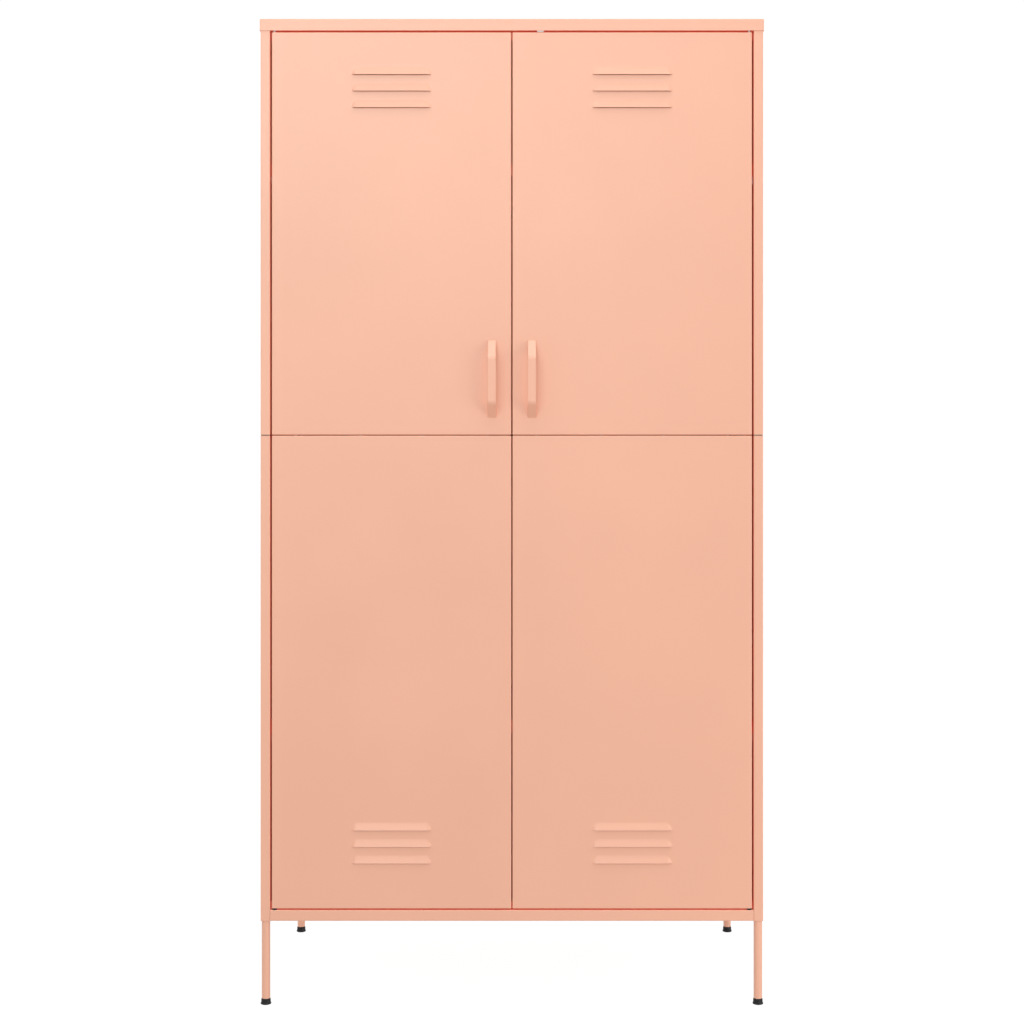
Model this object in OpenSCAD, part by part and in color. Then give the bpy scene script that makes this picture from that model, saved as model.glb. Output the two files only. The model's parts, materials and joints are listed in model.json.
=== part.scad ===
// Tall two-door steel locker cabinet on four thin legs.
// Millimetres. X to the right, Y to the back, Z up. The origin is on the floor,
// in the middle of the cabinet's width and of its whole depth, handles included.

/* [Overall size] */
// Width over the top cap
cabinet_w = 900; // [700:10:1200]
// Depth of the top cap, front to back
cap_d = 475; // [380:5:600]
// Height from the floor to the top of the cap
cabinet_h = 1760; // [1450:10:2120]
// Clear height between the floor and the body
leg_clearance = 150; // [100:5:200]
// Height above the floor of the joint between the lower and upper halves
joint_h = 1017; // [900:1:1140]

/* [Sheet metal] */
// Thickness of the steel sheet
sheet = 0.8; // [0.6:0.1:1.2]
// Height of the top cap's skirt
cap_skirt = 21; // [20:1:40]
// How far the top cap stands out past the body
cap_over = 1.4; // [1.3:0.1:3]
// Width of the posts' faces
post_w = 17; // [16:0.5:30]
// How far the post channels reach back past the doors
post_back = 19; // [17:1:34]
// Width of the inner lip that ends each post channel
post_lip = 8; // [5:1:12]
// Width of the flanges that join the halves of a side
flange_w = 14; // [12:1:20]
// Height of the rail under the doors
rail_h = 19.5; // [16:0.5:40]
// How far the floor steps up behind the doors
step_h = 12; // [8:1:20]
// Depth of the back panels' side flanges
back_flange = 18; // [14:1:20]

/* [Doors] */
// Gap between a door and the post beside it
side_gap = 3; // [2.5:0.1:5]
// Gap between the two doors
centre_gap = 2; // [1:0.1:4]
// Gap above and below the doors
end_gap = 2.5; // [2.3:0.1:5]
// Thickness of a door
door_t = 16; // [14:1:24]
// Width of the hem around the back of a door pan
hem_w = 10; // [6:1:14]
// Distance of the pivots from a door's outer side and from its face
pivot_in = 4.5; // [4.5:0.1:5]
// Diameter of the pivot pins
pivot_d = 5; // [4:0.1:5]

/* [Louvres] */
// Louvres in each group
louvre_n = 3; // [1:1:5]
// Width of a louvre at its lip
louvre_w = 143; // [80:1:200]
// Height of a louvre from its lip to its crease
louvre_h = 14.5; // [10:0.5:20]
// How far a louvre's lip stands out from the door
louvre_out = 3.5; // [3:0.5:8]
// Slant of each end of a louvre
louvre_slant = 6.5; // [2:0.5:12]
// Distance between louvres
louvre_pitch = 29.4; // [22:0.2:40]
// Distance of the top lip below the top of a door
louvre_drop = 76; // [50:1:120]
// Distance of the lowest lip above the bottom of a door
louvre_rise = 81.5; // [50:0.5:120]

/* [Handles] */
// How far a handle stands out from the door
handle_reach = 26.4; // [20:0.2:45]
// Length of a handle
handle_l = 138.5; // [120:0.5:220]
// Width of a handle
handle_w = 15; // [10:0.5:25]
// Thickness of a handle's grip
handle_t = 3; // [2.5:0.1:5]
// Height of a handle's sloped upper arm
handle_arm_up = 31; // [24:1:40]
// Height of a handle's sloped lower arm
handle_arm_low = 25; // [20:1:40]
// Distance from the middle of a handle to the middle of the cabinet
handle_x = 35.6; // [25:0.2:60]
// Distance from the joint to the lower end of a handle
handle_rise = 31; // [24:1:60]

/* [Inside] */
// Depth of a shelf's skirt
shelf_skirt = 25; // [20:1:40]
// Distance between shelf slots
slot_pitch = 100; // [50:50:200]
// Least clear height under the lower shelf
low_space = 300; // [150:10:400]
// Least height between the hat shelf's skirt and the cap
hat_space = 240; // [180:10:300]
// Diameter of the hanging rail
rail_d = 25; // [20:1:30]
// Distance from the hat shelf's skirt to the middle of the hanging rail
rail_drop = 32; // [26:1:60]
// Distance from the middle of the cabinet to each magnetic catch
catch_x = 51; // [40:1:120]

/* [Legs and wall] */
// Height of the feet
foot_h = 10.5; // [5:0.5:15]
// Diameter of the feet on the floor
foot_d = 19; // [16:0.5:30]
// Distance between the two wall fixing holes
wall_pitch = 600; // [300:10:640]
// Diameter of the wall fixing holes
wall_d = 7; // [5:0.5:10]
// Distance of the wall fixing holes below the top
wall_drop = 90; // [60:5:150]

/* [Hidden] */
$fn = 48;

powder = "#F2B79C";
zinc = "#C9CCD0";
black = "#1C1C1E";
white = "#F1F0EC";

// Clearances
fit = 0.2;          // between sheet parts that slide together
bore_fit = 0.05;    // around a screw, pin or stud, on the radius
run_gap = 0.3;      // between a moving face and its stop
cut = 1;            // how far a cut runs past the face it opens

// Body
body_x = cabinet_w / 2 - cap_over;
overall_d = cap_d - cap_over + handle_reach;
y_face = handle_reach - overall_d / 2;
y_rear = overall_d / 2 - cap_over;
body_d = y_rear - y_face;
z_body = leg_clearance;
z_under_cap = cabinet_h - sheet;
z_cap_edge = cabinet_h - cap_skirt;
post_d = door_t + post_back;
post_in_x = body_x - post_w;
between_x = post_in_x - fit;

// Doors
door_top = z_cap_edge - end_gap;
strip_z = z_body + rail_h;
door_bottom = strip_z + end_gap;
door_out_x = post_in_x - side_gap;
door_in_x = centre_gap / 2;
door_mid_x = (door_out_x + door_in_x) / 2;
pivot_x = door_out_x - pivot_in;
pivot_y = y_face + pivot_in;
door_bolt_y = y_face + door_t / 2;

// Handles
handle_z = joint_h + handle_rise;
handle_root = 12;
handle_screw_in = 7;
handle_screw_l = 5;

// Rails and floor
stop_gap = 1;
stop_y = y_face + door_t + stop_gap;
stop_lap = 11;
rail_hide = 0.6;
top_rail_z = z_cap_edge + rail_hide;
rail_flange = 22;
floor_z = strip_z + step_h;

// Posts and fixings
screw_d = 4;
screw_head_d = 8;
screw_head_h = 2.4;
socket_d = 2.5;
socket_h = 1.2;
post_screw_in = 26;
back_screw_end = 70;
screw_l = 8;
top_screw_z = (top_rail_z + z_under_cap) / 2;
floor_screw_z = z_body + rail_h / 2;
bolt_d = 5;
nut_d = 9.2;
nut_h = 4;
side_bolt_y = [for (f = [0.25, 0.5, 0.75]) y_face + f * body_d];
side_bolt_x = body_x - sheet - flange_w / 2;
back_screw_in = back_flange - 7;
cap_stud_y = [y_face + 0.3 * body_d, y_face + 0.7 * body_d];
cap_stud_x = 0.22 * cabinet_w;
stud_l = 11;
splice_l = 80;
splice_d = 18;
splice_wall = 1.2;
joint_rail_h = 44;
joint_rail_t = 1.5;
joint_rail_x = between_x - back_flange;

// Shelves
slot_first = 100;
slot_last = 60;
slot_w = 3;
slot_h = 12;
slot_end = 10;
clip_w = 16;
clip_gap = 2;
slot_in = max(door_t + clip_gap, back_flange) + clip_w / 2;
slot_zs = [for (z = [floor_z + slot_first : slot_pitch : z_cap_edge - slot_last]) z];
shelf_x = between_x - sheet;
shelf_front = y_face + door_t + 2 * clip_gap;
shelf_rear = y_rear - back_flange - clip_gap;
shelf_hem = 12;
low_slot = ceil((low_space - slot_first) / slot_pitch);
hat_slot = floor((z_cap_edge - hat_space - floor_z - slot_first) / slot_pitch);
low_shelf_z = slot_zs[low_slot];
hat_shelf_z = slot_zs[hat_slot];
clip_t = 2;
clip_reach = 12;
hook_down = 3;

// Hanging rail
rail_z = hat_shelf_z - rail_drop;
rail_end = 45;
rail_x = shelf_x - rail_end;
rail_wall = 1.2;
ring_t = 3;
ring_w = 10;
bracket_plate_t = 2;
bracket_plate_l = 46;
bracket_screw_in = 5;
rail_past = 6;
bracket_x = rail_x - ring_w / 2 - rail_past;
shelf_under = hat_shelf_z + shelf_skirt - sheet;

// Legs
leg_d = post_w - 2 * (sheet + fit);
leg_wall = 1.5;
leg_top = 10;
leg_x = body_x - post_w / 2;
leg_in = post_w / 2 + 0.1;
stud_d = 10;
stud_past = 10;
plate_t = 5;
plug_l = 12;

// Catches, bushes and bumpers
catch_w = 12.5;
catch_h = 15;
catch_depth = 12;
catch_top = top_rail_z;
catch_nose_y = y_face + door_t + run_gap;
catch_wall = 1.5;
magnet_t = 4;
ear_w = 6;
ear_t = 2;
bush_d = 7;
bush_flange_d = 8.6;
bush_past = 2;
guide_w = 12;
guide_in = 0.3;
guide_gap = 0.5;
bumper_d = 7;
pin_collar_d = 7;
pin_in = 14;
pin_past = 4;
pivot_plate_t = 2;
pivot_plate_l = 26;

// A box from its lowest to its highest corner
module span(low, high) {
    translate(low) cube(high - low);
}

// A bar along X, the same on both sides of the middle
module across(half, y0, y1, z0, z1) {
    span([-half, y0, z0], [half, y1, z1]);
}

module both_sides() {
    children();
    mirror([1, 0, 0]) children();
}

module front_and_rear() {
    children();
    translate([0, y_face + y_rear, 0]) mirror([0, 1, 0]) children();
}

// A hole along X on the right, through whatever lies between two places
module hole_x(x0, x1, y, z, d) {
    translate([x0, y, z]) rotate([0, 90, 0]) cylinder(d = d + 2 * bore_fit, h = x1 - x0);
}

module hole_z(x, y, z0, z1, d) {
    translate([x, y, z0]) cylinder(d = d + 2 * bore_fit, h = z1 - z0);
}

// A sheet screw: its head's seat is at the origin and it points along +Z
module sheet_screw(length) {
    difference() {
        union() {
            translate([0, 0, -screw_head_h])
                cylinder(d1 = screw_head_d - 2, d2 = screw_head_d, h = screw_head_h);
            cylinder(d = screw_d, h = length);
        }
        translate([0, 0, -screw_head_h - cut]) cylinder(d = socket_d, h = socket_h + cut, $fn = 6);
    }
}

// A hexagon bolt: its head's seat is at the origin and it points down
module hex_bolt(length) {
    cylinder(d = nut_d, h = nut_h - 0.5, $fn = 6);
    translate([0, 0, -length]) cylinder(d = bolt_d, h = length);
}

module hex_nut() {
    difference() {
        cylinder(d = nut_d, h = nut_h, $fn = 6);
        translate([0, 0, -1]) cylinder(d = bolt_d + 2 * bore_fit, h = nut_h + 2);
    }
}

// Screws through the inner walls of the right posts, at these depths and heights
module post_screws(seat_x, ys, zs) {
    for (y = ys, z = zs)
        translate([seat_x, y, z]) rotate([0, 90, 0]) sheet_screw(screw_l);
}

function post_screw_ys() = [y_face + post_screw_in, y_rear - post_screw_in];
function back_screw_zs(z0, z1) = [z0 + back_screw_end, (z0 + z1) / 2, z1 - back_screw_end];

// ---- Top ----

module top_cap() {
    color(powder) {
        difference() {
            span([-cabinet_w / 2, y_face - cap_over, z_cap_edge],
                 [cabinet_w / 2, y_rear + cap_over, cabinet_h]);
            span([sheet - cabinet_w / 2, y_face - cap_over + sheet, z_cap_edge - 1],
                 [cabinet_w / 2 - sheet, y_rear + cap_over - sheet, z_under_cap]);
        }
        cap_studs(bolt_d, z_under_cap - stud_l, z_under_cap + sheet / 2);
    }
}

module cap_studs(d, z0, z1) {
    both_sides() {
        for (y = cap_stud_y) translate([side_bolt_x, y, z0]) cylinder(d = d, h = z1 - z0);
        translate([cap_stud_x, y_face + rail_flange / 2, z0]) cylinder(d = d, h = z1 - z0);
    }
}

module cap_nuts() {
    color(zinc) both_sides() {
        for (y = cap_stud_y) translate([side_bolt_x, y, z_under_cap - sheet - nut_h]) hex_nut();
        translate([cap_stud_x, y_face + rail_flange / 2, z_under_cap - sheet - nut_h]) hex_nut();
    }
}

module top_rail() {
    color(powder) difference() {
        union() {
            across(between_x, y_face, y_face + sheet, top_rail_z, z_under_cap);
            across(between_x, y_face, stop_y + sheet, top_rail_z, top_rail_z + sheet);
            across(between_x, stop_y, stop_y + sheet, door_top - stop_lap, top_rail_z + sheet);
            across(between_x, y_face, y_face + rail_flange, z_under_cap - sheet, z_under_cap);
            both_sides()
                span([between_x - sheet, y_face, top_rail_z], [between_x, y_face + post_d, z_under_cap]);
        }
        cap_studs(bolt_d + 4 * bore_fit, z_under_cap - 2, z_under_cap + 1);
        both_sides() {
            hole_x(between_x - 2, between_x + 1, y_face + post_screw_in, top_screw_z, screw_d);
            hole_z(pivot_x, pivot_y, top_rail_z - 1, top_rail_z + 2, bush_d);
            catch_notch();
            catch_screw_places() translate([0, 0, -2]) cylinder(d = screw_d - 1, h = 6);
        }
    }
}

module catch_notch() {
    span([catch_x - catch_w / 2 - fit, stop_y - 1, door_top - stop_lap - 1],
         [catch_x + catch_w / 2 + fit, stop_y + 2, top_rail_z]);
}

module top_rail_screws() {
    color(zinc) both_sides() post_screws(between_x - sheet, [y_face + post_screw_in], [top_screw_z]);
}

// ---- Sides ----

// One post channel at the front right, seen from above
module post_plan() {
    translate([post_in_x, y_face]) {
        square([post_w, sheet]);
        square([sheet, post_d]);
        translate([0, post_d - sheet]) square([post_lip, sheet]);
    }
}

module side_plan() {
    translate([body_x - sheet, y_face]) square([sheet, body_d]);
    post_plan();
    translate([0, y_face + y_rear]) mirror([0, 1]) post_plan();
}

module side_flange(z) {
    span([body_x - sheet - flange_w, y_face + post_d + 1, z],
         [body_x - sheet / 2, y_rear - post_d - 1, z + sheet]);
}

module side_half(z0, z1) {
    difference() {
        union() {
            translate([0, 0, z0]) linear_extrude(z1 - z0) side_plan();
            side_flange(z0);
            side_flange(z1 - sheet);
        }
        front_and_rear() for (z = slot_zs)
            if (z - slot_h > z0 + slot_end && z < z1 - slot_end)
                span([post_in_x - 1, y_face + slot_in - slot_w / 2, z - slot_h],
                     [post_in_x + 2, y_face + slot_in + slot_w / 2, z]);
        for (z = back_screw_zs(z0, z1))
            hole_x(post_in_x - 1, post_in_x + 2, y_rear - back_screw_in, z, screw_d);
    }
}

module upper_side() {
    color(powder) difference() {
        side_half(joint_h, z_under_cap);
        for (y = side_bolt_y) hole_z(side_bolt_x, y, joint_h - 1, joint_h + 2, bolt_d);
        for (y = cap_stud_y) hole_z(side_bolt_x, y, z_under_cap - 2, z_under_cap + 1, bolt_d);
        hole_x(post_in_x - 1, post_in_x + 2, y_face + post_screw_in, top_screw_z, screw_d);
    }
}

module lower_side() {
    color(powder) difference() {
        side_half(z_body, joint_h);
        for (y = side_bolt_y) hole_z(side_bolt_x, y, joint_h - 2, joint_h + 1, bolt_d);
        for (y = post_screw_ys()) hole_x(post_in_x - 1, post_in_x + 2, y, floor_screw_z, screw_d);
    }
}

module upper_right_side() { upper_side(); }
module upper_left_side() { mirror([1, 0, 0]) upper_side(); }
module lower_right_side() { lower_side(); }
module lower_left_side() { mirror([1, 0, 0]) lower_side(); }

module side_joint_bolts() {
    color(zinc) both_sides() for (y = side_bolt_y)
        translate([side_bolt_x, y, joint_h + sheet]) hex_bolt(2 * sheet + nut_h + 1);
}

module side_joint_nuts() {
    color(zinc) both_sides() for (y = side_bolt_y)
        translate([side_bolt_x, y, joint_h - sheet - nut_h]) hex_nut();
}

// Short box tubes inside the post channels, which line the halves up
module post_splices() {
    color(zinc) both_sides() front_and_rear() difference() {
        span([post_in_x + sheet + fit, y_face + sheet + fit, joint_h - splice_l / 2],
             [body_x - sheet - fit, y_face + sheet + fit + splice_d, joint_h + splice_l / 2]);
        span([post_in_x + sheet + fit + splice_wall, y_face + sheet + fit + splice_wall, joint_h - splice_l],
             [body_x - sheet - fit - splice_wall, y_face + sheet + fit + splice_d - splice_wall, joint_h + splice_l]);
    }
}

// ---- Floor ----

// Outline of the raised floor, which reaches the sides between the posts
module floor_plan(inset) {
    rear_x = between_x - sheet - fit - inset;
    side_x = body_x - sheet - fit - inset;
    y0 = y_face + post_d + fit + inset;
    y1 = y_rear - post_d - fit - inset;
    translate([-between_x + inset, stop_y + inset]) square([2 * (between_x - inset), y0 - stop_y - inset + 1]);
    translate([-side_x, y0]) square([2 * side_x, y1 - y0]);
    translate([-rear_x, y1 - 1]) square([2 * rear_x, y_rear - sheet - fit - inset - y1 + 1]);
}

module floor_pan() {
    color(powder) difference() {
        union() {
            across(between_x, y_face, y_face + sheet, z_body, strip_z);
            across(between_x, y_face, stop_y + sheet, strip_z - sheet, strip_z);
            across(between_x, y_face, y_face + hem_w, z_body, z_body + sheet);
            difference() {
                translate([0, 0, z_body + sheet]) linear_extrude(floor_z - z_body - sheet) floor_plan(0);
                translate([0, 0, z_body]) linear_extrude(floor_z - z_body - sheet) floor_plan(sheet);
            }
        }
        both_sides() {
            hole_z(pivot_x, pivot_y, strip_z - 2, strip_z + 1, bush_d);
            for (y = post_screw_ys()) hole_x(between_x - 3, between_x + 1, y, floor_screw_z, screw_d);
        }
    }
}

module floor_pan_screws() {
    color(zinc) both_sides() {
        post_screws(between_x - sheet, [y_face + post_screw_in], [floor_screw_z]);
        post_screws(between_x - 2 * sheet - fit, [y_rear - post_screw_in], [floor_screw_z]);
    }
}

// ---- Back ----

module back_panel(z0, z1) {
    difference() {
        union() {
            across(between_x, y_rear - sheet, y_rear, z0, z1);
            both_sides() span([between_x - sheet, y_rear - back_flange, z0], [between_x, y_rear, z1]);
        }
        both_sides() for (z = back_screw_zs(z0, z1))
            hole_x(between_x - 2, between_x + 1, y_rear - back_screw_in, z, screw_d);
        rear_joint_screw_places() translate([0, 0, -4]) cylinder(d = screw_d + 2 * bore_fit, h = 8);
    }
}

module upper_back_panel() {
    color(powder) difference() {
        back_panel(joint_h, z_under_cap);
        both_sides() translate([wall_pitch / 2, y_rear - 2, cabinet_h - wall_drop])
            rotate([-90, 0, 0]) cylinder(d = wall_d, h = 4);
    }
}

module lower_back_panel() { color(powder) back_panel(z_body, joint_h); }

module back_panel_screws() {
    color(zinc) both_sides() {
        post_screws(between_x - sheet, [y_rear - back_screw_in], back_screw_zs(z_body, joint_h));
        post_screws(between_x - sheet, [y_rear - back_screw_in], back_screw_zs(joint_h, z_under_cap));
    }
}

// Places of the screws that hold the joint rail, pointing at the back
module rear_joint_screw_places() {
    for (f = [-0.85, -0.3, 0.3, 0.85], s = [-1, 1])
        translate([f * joint_rail_x, y_rear - sheet - joint_rail_t, joint_h + s * joint_rail_h / 4])
            rotate([-90, 0, 0]) children();
}

module rear_joint_rail() {
    color(powder) difference() {
        across(joint_rail_x, y_rear - sheet - joint_rail_t, y_rear - sheet,
               joint_h - joint_rail_h / 2, joint_h + joint_rail_h / 2);
        rear_joint_screw_places() translate([0, 0, -1]) cylinder(d = screw_d + 2 * bore_fit, h = 5);
    }
}

module rear_joint_screws() {
    color(zinc) rear_joint_screw_places() sheet_screw(joint_rail_t + sheet);
}

// ---- Shelves and hanging rail ----

// A shelf pan whose skirt stands at height z
module shelf(z) {
    difference() {
        across(shelf_x, shelf_front, shelf_rear, z, z + shelf_skirt);
        across(shelf_x - sheet, shelf_front + sheet, shelf_rear - sheet, z + sheet, z + shelf_skirt - sheet);
        across(shelf_x - shelf_hem, shelf_front + shelf_hem, shelf_rear - shelf_hem, z - 1, z + 2);
    }
}

module lower_shelf() { color(powder) shelf(low_shelf_z); }

module hat_shelf() {
    color(powder) difference() {
        shelf(hat_shelf_z);
        bracket_screw_places() translate([0, 0, -2]) cylinder(d = screw_d + 2 * bore_fit, h = 6);
    }
}

// A clip that hooks into a slot of the right front post and carries a shelf at height z
module shelf_clip(z) {
    y = y_face + slot_in;
    wall = post_in_x + sheet;
    span([post_in_x - clip_reach, y - clip_w / 2, z - clip_t], [post_in_x, y + clip_w / 2, z]);
    span([post_in_x - clip_t, y - clip_w / 2, z - slot_h - clip_t], [post_in_x, y + clip_w / 2, z]);
    span([post_in_x - clip_t, y - slot_w / 2 + fit, z - slot_h + 1],
         [wall + clip_t, y + slot_w / 2 - fit, z - 0.5]);
    span([wall + fit, y - slot_w / 2 + fit, z - slot_h - hook_down],
         [wall + clip_t, y + slot_w / 2 - fit, z - 0.5]);
}

module shelf_clips() {
    color(zinc) both_sides() front_and_rear() {
        shelf_clip(low_shelf_z);
        shelf_clip(hat_shelf_z);
    }
}

module bracket_screw_places() {
    both_sides() for (s = [-1, 1])
        translate([bracket_x, s * (bracket_plate_l / 2 - bracket_screw_in), shelf_under - bracket_plate_t])
            children();
}

module rail_bracket() {
    color(zinc) difference() {
        union() {
            translate([bracket_x - ring_w / 2, 0, rail_z]) rotate([0, 90, 0])
                cylinder(d = rail_d + 2 * ring_t, h = ring_w);
            span([bracket_x - ring_w / 2, -rail_d / 2, rail_z],
                 [bracket_x + ring_w / 2, rail_d / 2, shelf_under - bracket_plate_t / 2]);
            span([bracket_x - ring_w / 2, -bracket_plate_l / 2, shelf_under - bracket_plate_t],
                 [bracket_x + ring_w / 2, bracket_plate_l / 2, shelf_under]);
        }
        hole_x(bracket_x - ring_w, bracket_x + ring_w, 0, rail_z, rail_d);
        bracket_screw_places() translate([0, 0, -1]) cylinder(d = screw_d + 2 * bore_fit, h = 6);
    }
}

module right_rail_bracket() { rail_bracket(); }
module left_rail_bracket() { mirror([1, 0, 0]) rail_bracket(); }

module rail_bracket_screws() {
    color(zinc) bracket_screw_places() sheet_screw(bracket_plate_t + sheet);
}

module hanging_rail() {
    color(zinc) translate([-rail_x, 0, rail_z]) rotate([0, 90, 0]) difference() {
        cylinder(d = rail_d, h = 2 * rail_x);
        translate([0, 0, -1]) cylinder(d = rail_d - 2 * rail_wall, h = 2 * rail_x + 2);
    }
}

// ---- Pivots, catches and bumpers ----

// A sleeve for a pivot pin, from the origin up
module sleeve(d, h) {
    difference() {
        cylinder(d = d, h = h);
        translate([0, 0, -cut]) cylinder(d = pivot_d + 2 * bore_fit, h = h + 2 * cut);
    }
}

// The upper bushes end flush under the head rail, so that only the pins show over the doors
module upper_pivot_bushes() {
    color(white) both_sides() translate([pivot_x, pivot_y, top_rail_z]) sleeve(bush_d, sheet + bush_past);
}

// The lower bushes carry the doors on their flanges
module lower_pivot_bushes() {
    color(black) both_sides() translate([pivot_x, pivot_y, strip_z]) {
        sleeve(bush_flange_d, end_gap - run_gap);
        translate([0, 0, -sheet - bush_past]) sleeve(bush_d, sheet + bush_past);
    }
}

module catch_screw_places() {
    for (s = [-1, 1])
        translate([catch_x + s * (catch_w / 2 + ear_w / 2), stop_y + sheet + ear_t, catch_top - catch_h / 2 - 1])
            rotate([90, 0, 0]) children();
}

module magnetic_catches() {
    color(white) {
        both_sides() magnetic_catch();
        right_guide();
    }
}

// The tongue of the right catch, which guides that door in under the head rail
module right_guide() {
    span([catch_x - guide_w / 2, y_face + guide_in, door_top + guide_gap],
         [catch_x + guide_w / 2, catch_nose_y + catch_wall, catch_top]);
}

module magnetic_catch() {
    difference() {
        union() {
            span([catch_x - catch_w / 2, catch_nose_y, catch_top - catch_h],
                 [catch_x + catch_w / 2, stop_y + sheet + catch_depth, catch_top]);
            span([catch_x - catch_w / 2 - ear_w, stop_y + sheet, catch_top - catch_h],
                 [catch_x + catch_w / 2 + ear_w, stop_y + sheet + ear_t, catch_top - 2]);
        }
        magnet_space();
        catch_screw_places() translate([0, 0, -1]) cylinder(d = screw_d - 1 + 2 * bore_fit, h = 6);
    }
}

module magnet_space() {
    span([catch_x - catch_w / 2 + catch_wall, catch_nose_y - cut, catch_top - catch_h + catch_wall],
         [catch_x + catch_w / 2 - catch_wall, catch_nose_y + magnet_t, catch_top - 2 * catch_wall]);
}

module catch_magnets() {
    color(zinc) both_sides() intersection() {
        magnet_space();
        across(cabinet_w, catch_nose_y + 0.1, catch_nose_y + magnet_t, catch_top - catch_h, catch_top);
    }
}

module catch_screws() {
    color(zinc) both_sides() catch_screw_places() {
        translate([0, 0, -1.4]) cylinder(d = 5.5, h = 1.4);
        cylinder(d = screw_d - 1, h = ear_t + sheet);
    }
}

module door_bumpers() {
    color(black) both_sides() {
        for (z = [door_top - stop_lap / 2 - 1, strip_z + step_h - bumper_d / 2 - 0.5])
            translate([door_in_x + hem_w, stop_y, z]) rotate([90, 0, 0])
                cylinder(d = bumper_d, h = stop_gap - run_gap);
    }
}

// ---- Legs ----

module corner_plates() {
    color(zinc) both_sides() front_and_rear() difference() {
        span([post_in_x + sheet + fit, y_face + sheet + fit, z_body],
             [body_x - sheet - fit, y_face + post_d - sheet - fit, z_body + plate_t]);
        hole_z(leg_x, y_face + leg_in, z_body - 1, z_body + plate_t + 1, stud_d);
    }
}

// The front right leg: a tube with a closed top and a threaded stud
module leg() {
    color(powder) translate([leg_x, y_face + leg_in, 0]) {
        difference() {
            translate([0, 0, foot_h]) cylinder(d = leg_d, h = z_body - foot_h);
            translate([0, 0, foot_h - cut]) cylinder(d = leg_d - 2 * leg_wall, h = z_body - foot_h - leg_top + cut);
        }
        translate([0, 0, z_body - cut]) cylinder(d = stud_d, h = cut + plate_t + stud_past);
    }
}

// The front right foot: a flared pad and a plug that fills the tube's end
module foot() {
    color(black) translate([leg_x, y_face + leg_in, 0]) {
        cylinder(d1 = foot_d, d2 = leg_d + 1.5, h = foot_h);
        translate([0, 0, foot_h - 1]) cylinder(d = leg_d - 2 * leg_wall - 2 * bore_fit, h = plug_l + 1);
    }
}

module to_left() { mirror([1, 0, 0]) children(); }
module to_rear() { translate([0, y_face + y_rear, 0]) mirror([0, 1, 0]) children(); }

module front_right_leg() { leg(); }
module front_left_leg() { to_left() leg(); }
module rear_right_leg() { to_rear() leg(); }
module rear_left_leg() { to_left() to_rear() leg(); }
module front_right_foot() { foot(); }
module front_left_foot() { to_left() foot(); }
module rear_right_foot() { to_rear() foot(); }
module rear_left_foot() { to_left() to_rear() foot(); }

// ---- Doors: each piece is made for the right door and mirrored for the left ----

function door_bolt_xs() = [for (f = [0.1, 0.37, 0.63, 0.9]) door_in_x + f * (door_out_x - door_in_x)];

module door_pan(z0, z1) {
    deep = sheet + hem_w;
    difference() {
        span([door_in_x, y_face, z0], [door_out_x, y_face + door_t, z1]);
        span([door_in_x + sheet, y_face + sheet, z0 + sheet],
             [door_out_x - sheet, y_face + door_t - sheet, z1 - sheet]);
        span([door_in_x + deep, y_face + 2, z0 + deep], [door_out_x - deep, y_face + door_t + 1, z1 - deep]);
    }
}

// Outline of a louvre from the front, drawn from its lip up
module louvre_front(inset) {
    half = louvre_w / 2 - inset;
    polygon([[-half, 0], [half, 0], [half - louvre_slant, louvre_h], [louvre_slant - half, louvre_h]]);
}

// A prism with the louvre's front outline, cut by its side profile
module louvre_solid(inset, profile) {
    intersection() {
        translate([0, 10, 0]) rotate([90, 0, 0]) linear_extrude(20) louvre_front(inset);
        rotate([90, 0, 90]) translate([0, 0, -louvre_w / 2]) linear_extrude(louvre_w) polygon(profile);
    }
}

module louvre_hood() {
    louvre_solid(0, [[sheet / 2, 0], [-louvre_out, 0], [0, louvre_h], [sheet / 2, louvre_h]]);
}

module louvre_hollow() {
    back = sheet + 1;
    thick = 1.1 * sheet;
    translate([0, 0, -0.5])
        louvre_solid(sheet, [[back, 0], [thick - louvre_out, 0], [thick, louvre_h], [back, louvre_h]]);
}

module louvre_group(lowest) {
    difference() {
        children();
        for (i = [0 : louvre_n - 1])
            translate([door_mid_x, y_face, lowest + i * louvre_pitch]) louvre_hollow();
    }
    for (i = [0 : louvre_n - 1])
        translate([door_mid_x, y_face, lowest + i * louvre_pitch]) difference() {
            louvre_hood();
            louvre_hollow();
        }
}

module upper_door() {
    color(powder) difference() {
        louvre_group(door_top - louvre_drop - (louvre_n - 1) * louvre_pitch) door_pan(joint_h, door_top);
        hole_z(pivot_x, pivot_y, door_top - 2, door_top + 1, pivot_d);
        for (x = door_bolt_xs()) hole_z(x, door_bolt_y, joint_h - 1, joint_h + 2, bolt_d);
        handle_screw_places() translate([0, 0, -1]) cylinder(d = screw_d + 2 * bore_fit, h = 4);
    }
}

module lower_door() {
    color(powder) difference() {
        louvre_group(door_bottom + louvre_rise) door_pan(door_bottom, joint_h);
        hole_z(pivot_x, pivot_y, door_bottom - 1, door_bottom + 2, pivot_d);
        for (x = door_bolt_xs()) hole_z(x, door_bolt_y, joint_h - 2, joint_h + 1, bolt_d);
    }
}

module door_bolts() {
    color(zinc) for (x = door_bolt_xs())
        translate([x, door_bolt_y, joint_h + sheet]) hex_bolt(2 * sheet + nut_h + 1);
}

module door_nuts() {
    color(zinc) for (x = door_bolt_xs())
        translate([x, door_bolt_y, joint_h - sheet - nut_h]) hex_nut();
}

// Places of the handle's screws, pointing out of the door
module handle_screw_places() {
    for (z = [handle_z + handle_screw_in, handle_z + handle_l - handle_screw_in])
        translate([handle_x, y_face + sheet, z]) rotate([90, 0, 0]) children();
}

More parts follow.
